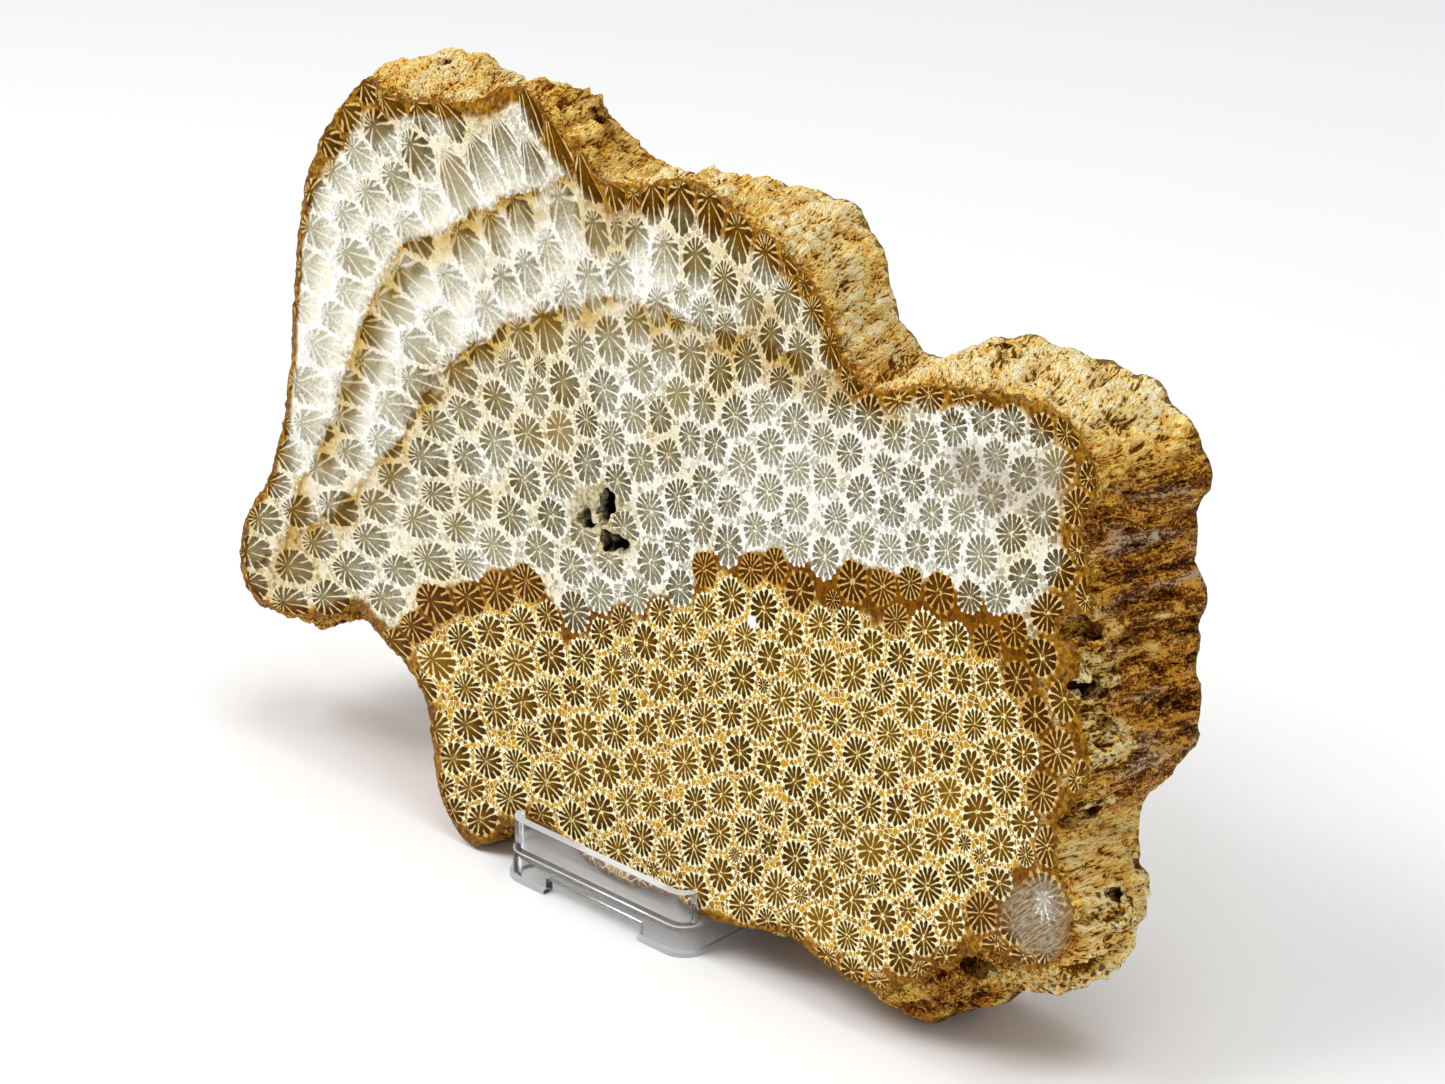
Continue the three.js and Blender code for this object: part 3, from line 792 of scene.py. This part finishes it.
def face_values(r):
    """What the materials of the sawn faces read: places, stored values and the noises that are shared."""
    x, _, v = r.parts(r.slice_place())
    at = SimpleNamespace(x=x, v=v, flat=r.vector(x, v, 0.0))
    at.cup = r.attribute("cup")
    at.septa, at.phase, at.tone = r.parts(r.attribute("nature"))
    at.home_gold, at.home_brown, at.lead = r.parts(r.attribute("home"))
    at.gold_gap, at.brown_gap, at.edge = r.parts(r.attribute("lands"))
    at.outer_line, at.inner_line, at.stain = r.parts(r.attribute("bands"))
    at.milk, at.tanned, at.grey_spot = r.parts(r.attribute("look"))
    at.pitted, at.speck, at.star = r.parts(r.attribute("marks"))
    at.jitter = r.noise(at.flat, 1.4, 2.0)[0]
    at.crumb = r.noise(at.flat, 2.6, 1.0)[0]
    at.cloud = r.noise(at.flat, 0.11, 3.0)[0]
    at.ragged = r.sway(r.noise(at.flat, 0.3, 3.0)[0], 5.0)
    return at


def cup_parts(r, at):
    """Adds where the septa, middle, wall and outside of each corallite lie, each from 0 to 1."""
    wander = r.noise(at.flat, 0.5, 2.0)[1]
    wander = r.vector_sum("MULTIPLY_ADD", wander, (0.16, 0.16, 0.0), (-0.08, -0.08, 0.0))
    at.qx, qy, at.rho = r.parts(r.vector_sum("ADD", at.cup, wander))
    # Long septa run from the middle to the wall, short ones between them from about halfway.
    reach = r.plus(r.times(at.lead, 0.5), r.times(at.lead, at.lead, at.lead, 6.0))
    ahead = r.plus(at.qx, reach)
    fan = r.plus(0.5, r.times(r.step(reach, 0.0, 0.3), at.milk, -0.14), r.times(reach, 0.25))
    turn = r.plus(r.times(r.sum("ARCTAN2", qy, ahead), at.septa, fan), at.phase)
    radius = r.sum("SQRT", r.plus(r.times(ahead, ahead), r.times(qy, qy)))
    width = r.sum("DIVIDE", radius, r.times(r.most(at.septa, 1.0), fan))
    long_gap = r.times(width, r.sum("ABSOLUTE", r.sum("SINE", turn)))
    short_gap = r.times(width, r.sum("ABSOLUTE", r.sum("COSINE", turn)))
    spread = r.plus(r.times(at.rho, 0.03), r.times(r.less(at.crumb, 0.38), 0.06),
                    r.times(at.milk, at.rho, 0.03), -0.002)
    spread = r.times(spread, r.plus(0.35, r.times(r.step(radius, 0.05, 0.6), 0.65)))
    away = r.step(r.plus(radius, r.sway(at.crumb, 0.3)), 0.06, 0.26)
    soft = r.plus(0.014, r.times(at.milk, away, 0.05))
    long_septum = r.times(r.step(r.less(long_gap, spread), soft, -0.007), away)
    short_septum = r.times(r.step(r.less(short_gap, r.times(spread, 0.85)), soft, -0.007),
                           r.step(r.plus(at.rho, r.sway(at.jitter, 0.5)), 0.44, 0.54))
    at.septum = r.most(long_septum, short_septum)
    at.middle = r.times(r.step(r.less(at.rho, r.times(at.jitter, 0.14)), 0.13, 0.05),
                        r.step(at.crumb, 0.44, 0.54), r.step(at.lead, 0.16, 0.06))
    arch = r.sum("ABSOLUTE", r.sum("SINE", r.times(turn, 2.0)))
    lip = r.plus(0.66, r.times(r.step(at.home_gold, -0.5, 0.5), -0.04), r.times(arch, 0.2),
                 r.times(at.milk, 0.06), r.times(at.lead, 0.3), r.sway(at.jitter, 0.2))
    at.wall = r.step(r.less(at.rho, lip), -0.015, 0.025)
    rim = r.plus(0.95, r.times(arch, -0.13), r.times(at.milk, 0.04), r.sway(at.jitter, 0.3))
    at.outside = r.step(r.less(at.rho, rim), -0.02, 0.03)


def stone_shares(r, at):
    """Adds each stone's share: whole corallites keep to one side of a line, the stone between follows it."""
    own_gold = r.mix_value(at.outside, at.home_gold, r.plus(at.gold_gap, at.ragged))
    own_brown = r.mix_value(at.outside, at.home_brown, r.plus(at.brown_gap, r.times(at.ragged, 0.5)))
    at.rim_amber = r.step(r.plus(at.edge, r.sway(r.noise(at.flat, 0.22, 3.0)[0], 1.4)), 1.15, 0.6)
    at.gold = r.most(r.step(own_gold, -0.6, 0.8), at.rim_amber)
    at.amber = r.step(own_brown, -0.5, 0.5)
    at.stained = r.step(r.plus(at.stain, r.times(at.ragged, 0.7)), -1.2, 1.2)
    patchy = r.plus(0.35, r.times(r.step(r.noise(at.flat, 0.19, 2.0)[0], 0.35, 0.55), 0.65))
    washes, glows, cores = [], [], []
    for line in (at.outer_line, at.inner_line):
        bent = r.plus(line, r.times(at.ragged, 0.8), r.sway(at.jitter, 1.5))
        washes.append(r.times(r.step(bent, -0.4, 0.3), r.step(bent, 8.5, 0.8), patchy, 0.95))
        glows.append(r.times(r.step(bent, -0.6, 0.2), r.step(bent, 5.5, 0.7), patchy))
        cores.append(r.times(r.step(r.sum("ABSOLUTE", bent), 1.3, 0.2), r.step(at.jitter, 0.3, 0.5)))
    at.glow = r.most(*glows, r.times(at.stained, 0.5))
    at.tan = r.most(*washes, r.times(at.stained, 0.75),
                    r.step(r.plus(at.tanned, r.sway(at.cloud, 1.6), r.sway(at.jitter, 0.6)), 0.1, 0.85))
    at.brown = r.most(r.times(at.amber, r.less(1.0, at.gold)),
                      r.times(at.rim_amber, r.plus(0.45, r.times(r.step(at.jitter, 0.36, 0.6), 0.5))),
                      r.times(r.most(*cores), 0.38))


def coral_pattern(r):
    """The colour of a sawn face: chambers and septa in each corallite, its wall, and the stone between."""
    at = face_values(r)
    cup_parts(r, at)
    stone_shares(r, at)

    def stone(colours, milky=0.0):
        white, tan, golden, amber = colours
        if milky:
            white = r.mix(milky, white, MILKY_AND_SHEEN)
        return r.mix(at.brown, r.mix(r.most(at.gold, at.amber), r.mix(at.tan, white, tan), golden), amber)

    # The chambers between the septa, paler and hazier in milky stone; at the left part that haze is partly
    # painted sheen.
    depth = r.plus(r.step(at.rho, 0.1, 0.7), r.sway(at.tone, 0.8), r.sway(at.crumb, 1.2))
    veil = r.plus(r.times(at.milk, 0.7), r.sway(at.crumb, 1.6),
                  r.times(r.step(at.qx, 0.0, 1.2), r.plus(at.milk, at.lead)))
    veil = r.sum("MULTIPLY", veil, 0.75, clamp=True)
    depth = r.sum("MULTIPLY", depth, 0.8, clamp=True)
    chamber = r.mix(depth, stone(CHAMBER, veil), stone(CHAMBER_DARK, veil))
    chamber = r.mix(r.times(r.step(at.tone, 0.86, 0.99), 0.6), chamber, stone(BLOB))

    # The stone between the corallites: small blobs in a pale net.
    blobs = r.cells(at.flat, 1.3, "DISTANCE_TO_EDGE")[0]
    lot = r.parts(r.cells(at.flat, 1.3)[1])[0]
    between = r.mix(r.step(lot, 0.3, 0.7), stone(GROUND), stone(BLOB))
    between = r.mix(r.times(r.step(lot, 0.78, 0.84), 0.8), between, stone(CHAMBER))
    net = r.times(r.step(r.plus(blobs, r.sway(at.crumb, 0.12)), 0.075, 0.02),
                  r.less(1.0, r.times(r.most(at.brown, at.rim_amber), 0.85)))
    net = r.most(net, r.times(at.milk, r.less(1.0, r.most(at.gold, at.brown)), 0.8))
    between = r.mix(net, between, stone(WALL))

    shown = r.times(at.septum, r.less(1.0, r.times(r.most(at.milk, at.lead), 0.4)))
    face = r.mix(shown, chamber, stone(SEPTUM))
    face = r.mix(at.middle, face, stone(SEPTUM))
    face = r.mix(at.wall, face, stone(WALL))
    face = r.mix(at.outside, face, between)

    # What lies over the pattern: the growth bands, the grey patches, the star and the worn places.
    banded = r.vector_sum("MULTIPLY", face, GROWTH_STAIN[:3])
    face = r.mix(r.times(at.glow, r.less(1.0, at.gold), 0.92), face, banded)
    grey = r.times(r.step(r.plus(at.grey_spot, at.ragged), -1.0, 1.8), r.step(at.cloud, 0.25, 0.5),
                   r.plus(0.5, r.times(r.step(at.star, -3.5, -1.5), 0.4)))
    slant = r.vector(r.times(r.plus(at.x, at.v), 0.35), r.times(r.less(at.x, at.v), 1.6), 0.0)
    lines = r.noise(slant, 1.6, 4.0, 0.65)[0]
    face = r.mix(grey, face, r.mix(r.step(lines, 0.36, 0.62), *GREY_LINES))
    starry = r.step(r.plus(at.star, r.times(at.crumb, 1.5)), 1.4, 2.2)
    face = r.mix(r.times(starry, r.plus(0.2, r.times(at.septum, 0.8))), face, STAR_WHITE)
    worn = r.times(r.step(r.plus(at.pitted, r.times(at.ragged, 0.8)), 0.0, 2.5),
                   r.plus(0.15, r.times(at.outside, 0.6)))
    face = r.mix(worn, face, r.mix(r.step(at.jitter, 0.4, 0.6), *WORN_SPOT))
    face = r.mix(r.step(at.speck, 0.0, 0.25), face, SPECK_WHITE)
    return face, at


def polished_material():
    r = Recipe("polished coral")
    face, at = coral_pattern(r)
    r.feed(r.shader.inputs["Base Color"], face)
    r.feed(r.shader.inputs["Roughness"], r.plus(0.13, r.times(r.noise(at.flat, 0.8, 3.0)[0], 0.12)))
    r.shader.inputs["IOR"].default_value = STONE_IOR
    r.shader.inputs["Specular IOR Level"].default_value = 0.06
    return r.material


def sawn_material():
    r = Recipe("sawn coral")
    face, at = coral_pattern(r)
    r.feed(r.shader.inputs["Base Color"], r.mix(0.12, face, SAW_DUST))
    r.feed(r.shader.inputs["Roughness"], r.plus(0.42, r.times(at.jitter, 0.2)))
    r.shader.inputs["Specular IOR Level"].default_value = 0.15
    saw_marks = r.noise(r.vector(r.times(at.x, 0.35), r.times(at.v, 4.0), 0.0), 1.0)[0]
    r.bump(saw_marks, 0.15, 0.0002)
    return r.material


def rind_material():
    r = Recipe("rough coral")
    place = r.slice_place()
    w = r.parts(place)[1]
    height, amber, pale = r.parts(r.attribute("relief_shade_and_stone"))
    pitted, grey, crumbly = r.parts(r.attribute("wear"))
    across, up, deep = r.parts(r.attribute("grain"))
    column = r.vector(across, up, r.times(deep, 0.2))
    streaks = r.noise(column, 1.6, 3.0, 0.6)[0]
    fibres = r.noise(column, 3.2, 2.0, 0.6)[0]
    broad = r.noise(column, 0.3, 3.0, 0.55)[0]
    crumbs = r.noise(place, 2.4, 3.0, 0.7)[0]
    patches = r.noise(place, 0.16, 3.0, 0.6)[0]
    chip = r.parts(r.cells(r.vector(across, up, r.times(deep, 0.45)), 0.9)[1])[0]

    # How light or dark the stone shows, for the crumbly stone and for the brown glass-like stone: partly its
    # own streaks, fibres and crumbs, and partly painted shade in the hollows and painted highlight on the
    # ridges, from the relief's height.
    dry_tone_and_shade = r.plus(r.times(height, r.plus(0.9, r.times(crumbly, 0.8))), r.sway(streaks, 4.2),
                 r.sway(fibres, 4.6), r.sway(crumbs, 2.0), r.sway(chip, 0.5), r.times(pale, 0.3), 0.2)
    glassy_tone_and_shade = r.plus(height, r.sway(streaks, 3.4), r.sway(fibres, 3.4), r.sway(broad, 2.2),
                    r.sway(crumbs, 6.0), r.sway(chip, 0.9), 0.35)

    def stone_of(colours, lit):
        dark, middle, light = colours
        return r.mix(r.step(lit, 0.15, 0.95), r.mix(r.step(lit, -1.0, -0.2), dark, middle), light)

    straw, cream, pit_wall = (stone_of(colours, dry_tone_and_shade) for colours in (STRAW, CREAM, PIT_WALL))
    rust, honey, slate = (stone_of(colours, glassy_tone_and_shade) for colours in (RUST, HONEY, SLATE))
    near_face = r.step(r.plus(w, r.sway(patches, 6.0)), 2.6, 0.4)
    amber_here = r.step(r.plus(amber, r.sway(broad, 1.0), r.sway(patches, 1.0)), 0.45, 0.7)
    pale_here = r.step(r.plus(pale, r.sway(patches, 1.8)), 0.38, 0.66)
    rusty = r.step(r.plus(amber, r.sway(r.noise(column, 0.42, 3.0)[0], 1.6)), 0.48, 0.78)
    rusty = r.times(rusty, r.less(1.0, r.times(near_face, 0.8)))
    grey_here = r.step(r.plus(grey, r.sway(broad, 1.2)), 0.35, 0.6)
    crumbly_here = r.step(r.plus(crumbly, r.sway(crumbs, 1.6)), 0.05, 0.45)
    stone = r.mix(pale_here, straw, cream)
    stone = r.mix(r.times(near_face, 0.85), stone, honey)
    stone = r.mix(amber_here, stone, r.mix(rusty, honey, rust))
    stone = r.mix(grey_here, stone, slate)
    stone = r.mix(crumbly_here, stone, r.mix(0.3, straw, cream))
    # Inside the pits the walls turn near black with depth: painted shade.
    stone = r.mix(r.step(pitted, -6.0, -4.0), stone, r.mix(r.step(w, 0.3, 1.8), pit_wall, PIT_SHADE))

    # Crumbly holes: the bump sinks them, and their dark colour is painted shade.
    lace = r.plus(r.cells(place, 1.0, "DISTANCE_TO_EDGE")[0], r.sway(crumbs, 0.7))
    holes_and_shade = r.times(r.step(lace, 0.2, 0.34), r.step(r.plus(crumbly, r.sway(patches, 1.2)), 0.3, 0.7))
    stone = r.mix(r.times(holes_and_shade, 0.85), stone, HOLE_SHADE)
    stone = r.mix(r.times(r.step(r.cells(place, 1.1)[0], 0.2, 0.1), 0.7), stone, FLECK)
    r.feed(r.shader.inputs["Base Color"], stone)
    r.feed(r.shader.inputs["Roughness"], r.less(0.75, r.times(amber_here, 0.35)))
    r.shader.inputs["IOR"].default_value = STONE_IOR
    r.shader.inputs["Specular IOR Level"].default_value = 0.05
    relief = r.plus(streaks, r.times(fibres, 0.8), r.times(crumbs, r.plus(0.3, r.times(amber_here, 0.4))),
                    r.times(holes_and_shade, -0.6))
    r.bump(relief, 1.0, 0.0008)
    return r.material


def clear_plastic(name, roughness, share):
    r = Recipe(name)
    r.shader.inputs["Base Color"].default_value = (1, 1, 1, 1)
    r.shader.inputs["Roughness"].default_value = roughness
    r.shader.inputs["IOR"].default_value = PLASTIC_IOR
    r.shader.inputs["Transmission Weight"].default_value = share
    return r.material


# ---------------------------------------------------------------- stand

# Metres: the rounding of the moulded edges, the height from which a level face is a frosted ledge, and
# the height below which the foot flange is frosted.
ROUNDING = 0.0003
LEDGE_FROM = 0.0034
FLANGE_BELOW = 0.0009


def clear_piece(node, name, clear, frosted):
    """A copy of a stand piece with its moulded edges rounded, and its ledges and flange frosted."""
    piece = copy_of_node(node, name)
    bpy.ops.object.mode_set(mode="EDIT")
    bpy.ops.mesh.select_all(action="SELECT")
    bpy.ops.mesh.dissolve_limited(angle_limit=math.radians(1))
    bpy.ops.object.mode_set(mode="OBJECT")
    bevel = piece.modifiers.new("rounding", "BEVEL")
    bevel.width = ROUNDING
    bevel.segments = 3
    bevel.limit_method = "ANGLE"
    bevel.angle_limit = math.radians(40)
    bpy.ops.object.modifier_apply(modifier=bevel.name)
    bpy.ops.object.shade_smooth_by_angle(angle=math.radians(35))
    piece.data.materials.append(clear)
    piece.data.materials.append(frosted)
    for face in piece.data.polygons:
        heights = [piece.data.vertices[v].co.z for v in face.vertices]
        ledge = face.normal.z > 0.5 and min(heights) > LEDGE_FROM
        face.material_index = int(ledge or max(heights) < FLANGE_BELOW)
    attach(piece, "root")
    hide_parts(node)


# ---------------------------------------------------------------- room

def add_camera():
    data = bpy.data.cameras.new("view")
    data.lens = LENS
    data.sensor_width = SENSOR
    data.clip_start = 0.01
    camera = bpy.data.objects.new("view", data)
    camera.location = CAMERA_PLACE
    camera.rotation_euler = (math.pi / 2 - CAMERA_PITCH, 0, CAMERA_AZIMUTH)
    bpy.context.scene.collection.objects.link(camera)
    bpy.context.scene.camera = camera


def add_floor():
    bpy.ops.object.select_all(action="DESELECT")
    bpy.ops.mesh.primitive_plane_add(size=1.8, location=(0, 0.3, 0))
    floor = bpy.context.object
    floor.name = "floor"
    r = Recipe("white card")
    r.shader.inputs["Base Color"].default_value = (0.93, 0.93, 0.93, 1)
    r.shader.inputs["Roughness"].default_value = 0.6
    floor.data.materials.append(r.material)


def add_light(name, place, aim, size, power):
    data = bpy.data.lights.new(name, "AREA")
    data.shape = "SQUARE"
    data.size = size
    data.energy = power
    light = bpy.data.objects.new(name, data)
    light.location = place
    light.rotation_euler = (Vector(aim) - Vector(place)).to_track_quat("-Z", "Y").to_euler()
    bpy.context.scene.collection.objects.link(light)


def add_daylight():
    world = bpy.data.worlds.new("room")
    bpy.context.scene.world = world
    world.use_nodes = True
    back = world.node_tree.nodes["Background"]
    back.inputs["Color"].default_value = (1, 1, 1, 1)
    back.inputs["Strength"].default_value = ROOM_LIGHT
    for light in LIGHTS:
        add_light(*light)
    bpy.context.scene.view_settings.view_transform = "Standard"


add_camera()
add_floor()
add_daylight()
clear = clear_plastic("clear moulded plastic", 0.06, 0.97)
frosted = clear_plastic("frosted plastic edges", 0.3, 0.5)
clear_piece("stand_base", "clear_stand_base", clear, frosted)
clear_piece("stand_back_rest", "clear_stand_back_rest", clear, frosted)
fossil_slice()
